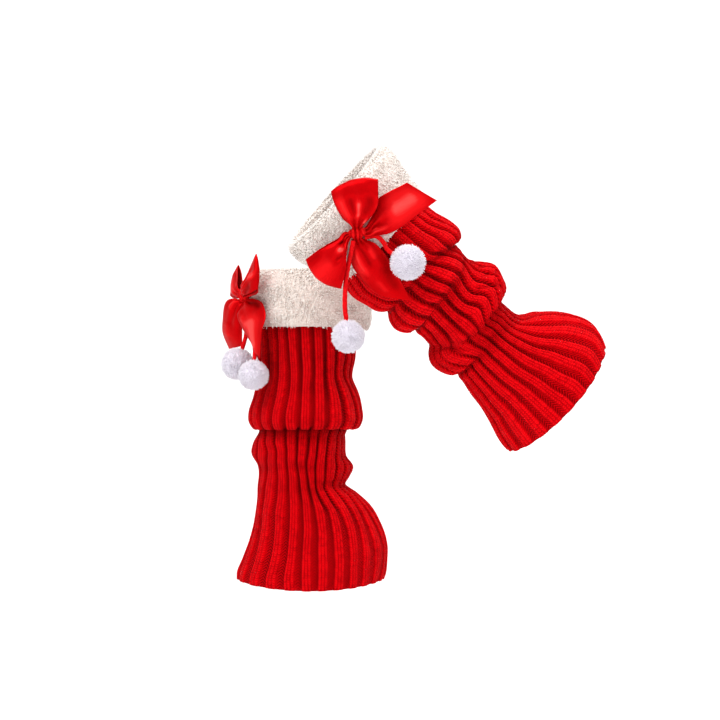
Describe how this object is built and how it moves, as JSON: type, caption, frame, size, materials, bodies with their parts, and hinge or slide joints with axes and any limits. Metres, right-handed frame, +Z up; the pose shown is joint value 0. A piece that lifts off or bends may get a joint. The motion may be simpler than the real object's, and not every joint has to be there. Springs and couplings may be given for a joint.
{
  "type": "pair of leg warmers",
  "caption": "Rib-knit leg warmers worn with bunched folds and fanned hems, with plush fold-over cuffs, ribbon bows and pompoms on cords.",
  "frame": {"origin": "on the leg's axis, half-way down the cuff of the standing leg warmer, where the calf holds it", "axes": "+Z up along the standing leg, +X from its shin to its calf, -Y to the side on which the raised one is"},
  "size_m": [0.3457, 0.2964, 0.3966],
  "materials": {
    "red_knit": "rib knit, matte",
    "cream_plush": "curly plush pile, matte",
    "red_satin": "satin ribbon, soft sheen",
    "red_cord": "round cord, matte",
    "white_pompom": "soft pile, matte"
  },
  "bodies": {
    "root": {"standing_knit_tube": "red_knit", "standing_plush_cuff": "cream_plush", "standing_bow_knot": "red_satin", "standing_bow_loop_a": "red_satin", "standing_bow_loop_b": "red_satin", "standing_bow_tail_a": "red_satin", "standing_bow_tail_b": "red_satin", "standing_cord_a": "red_cord", "standing_cord_b": "red_cord", "standing_pompom_a": "white_pompom", "standing_pompom_b": "white_pompom", "raised_knit_tube": "red_knit", "raised_plush_cuff": "cream_plush", "raised_bow_knot": "red_satin", "raised_bow_loop_a": "red_satin", "raised_bow_loop_b": "red_satin", "raised_bow_tail_a": "red_satin", "raised_bow_tail_b": "red_satin", "raised_cord_a": "red_cord", "raised_cord_b": "red_cord", "raised_pompom_a": "white_pompom", "raised_pompom_b": "white_pompom"}
  },
  "joints": []
}
